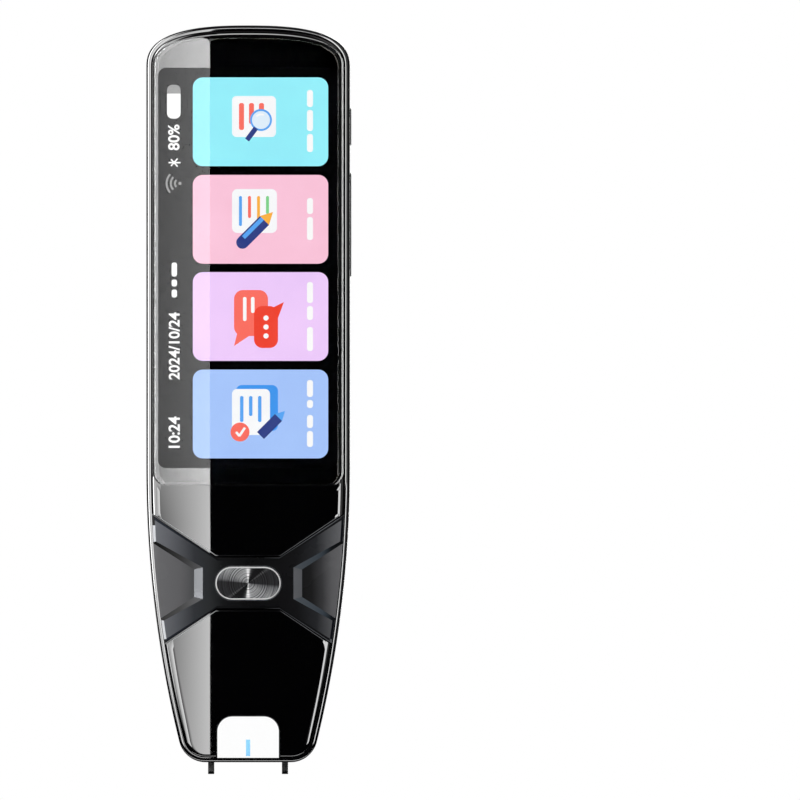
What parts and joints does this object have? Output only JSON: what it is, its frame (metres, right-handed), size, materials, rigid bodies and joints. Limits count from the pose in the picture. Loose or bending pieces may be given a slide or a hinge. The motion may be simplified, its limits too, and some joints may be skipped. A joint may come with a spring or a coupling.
{
  "type": "handheld translator",
  "caption": "Pen-shaped handheld translator with a tall display, a cross-shaped trim round its scan button, a speaker and camera on the back and a spring-loaded scanning tip.",
  "frame": {"origin": "centre of the scan button on the middle plane between the front rim and the back", "axes": "+X to the right seen from the display side, +Y from the display side to the back, +Z along the pen to its top end"},
  "size_m": [0.0417, 0.0131, 0.1522],
  "materials": {
    "housing_black": "fine matt, moulded",
    "back_grey": "satin, fine spark-eroded grain",
    "bezel_gloss": "high gloss black",
    "cover_glass": "clear, polished, rounded edge",
    "tape_black": "black adhesive",
    "display_dark": "display panel",
    "tray_steel": "pressed sheet",
    "flex_amber": "polyimide film",
    "cover_satin": "satin black lacquer",
    "button_metal": "spun face, bright chamfer",
    "switch_body": "moulded switch body",
    "clear_window": "clear moulded plastic",
    "line_blue": "printed aiming line",
    "cover_grey": "satin dark grey lacquer",
    "mesh_black": "black woven mesh",
    "gasket_rubber": "foam rubber",
    "driver_metal": "pressed frame with a black cone",
    "rim_metal": "satin rim with a bright edge",
    "tinted_window": "dark tinted window",
    "camera_body": "moulded lens holder",
    "lens_blue": "coated lens",
    "board_green": "solder mask",
    "light_cream": "light-emitting diode",
    "trigger_black": "hard moulded slide",
    "spring_steel": "spring wire",
    "key_grey": "satin moulded key",
    "shield_tin": "tinned shield can",
    "chip_black": "moulded package",
    "port_steel": "drawn shell",
    "mic_brass": "metal can",
    "battery_foil": "laminated foil pouch",
    "pad_foam": "double-sided foam tape",
    "lead_red": "insulated wire",
    "screw_black": "blackened steel",
    "screw_steel": "plated steel"
  },
  "bodies": {
    "body": {"front_housing": "housing_black", "back_housing": "back_grey", "front_bezel": "bezel_gloss", "cover_glass": "cover_glass", "glass_tape": "tape_black", "display_panel": "display_dark", "backlight_tray": "tray_steel", "display_flex": "flex_amber", "cross_cover": "cover_satin", "scan_key_switch": "switch_body", "tip_window": "clear_window", "aiming_line": "line_blue", "speaker_cover": "cover_grey", "speaker_mesh": "mesh_black", "speaker_gasket": "gasket_rubber", "speaker_driver": "driver_metal", "camera_rim": "rim_metal", "camera_window": "tinted_window", "rear_camera": "camera_body", "rear_camera_lens": "lens_blue", "scan_window": "tinted_window", "scan_camera": "camera_body", "scan_camera_lens": "lens_blue", "scan_light_board": "board_green", "scan_lights": "light_cream", "trigger_springs": "spring_steel", "trigger_switch": "switch_body", "side_key_board": "board_green", "side_key_switches": "switch_body", "main_board": "board_green", "processor_shield": "shield_tin", "memory_chip": "chip_black", "usb_port": "port_steel", "usb_tongue": "chip_black", "microphone": "mic_brass", "lower_board": "board_green", "link_flex": "flex_amber", "battery": "battery_foil", "battery_pad": "pad_foam", "battery_leads": "lead_red", "antenna": "flex_amber", "housing_screws": "screw_black", "board_screws": "screw_steel"},
    "scan_button": {"scan_button": "button_metal"},
    "power_button": {"power_button": "key_grey"},
    "volume_rocker": {"volume_rocker": "key_grey"},
    "tip_trigger": {"tip_trigger": "trigger_black"}
  },
  "joints": [
    {"name": "scan_button_press", "type": "slide", "parent": "body", "child": "scan_button", "axis": [0, 1, 0], "range_m": [0, 0.0004], "stiffness_N_per_m": 800},
    {"name": "power_press", "type": "slide", "parent": "body", "child": "power_button", "axis": [-1, 0, 0], "range_m": [0, 0.00035], "stiffness_N_per_m": 800},
    {"name": "volume_rock", "type": "hinge", "parent": "body", "child": "volume_rocker", "pos_m": [0.0199, -0.00045, 0.0729], "axis": [0, 1, 0], "range_deg": [-1.7, 1.7], "stiffness_Nm_per_rad": 0.06},
    {"name": "tip_press", "type": "slide", "parent": "body", "child": "tip_trigger", "axis": [0, 0, 1], "range_m": [0, 0.0012], "stiffness_N_per_m": 400, "deforming": ["trigger_springs"]}
  ]
}
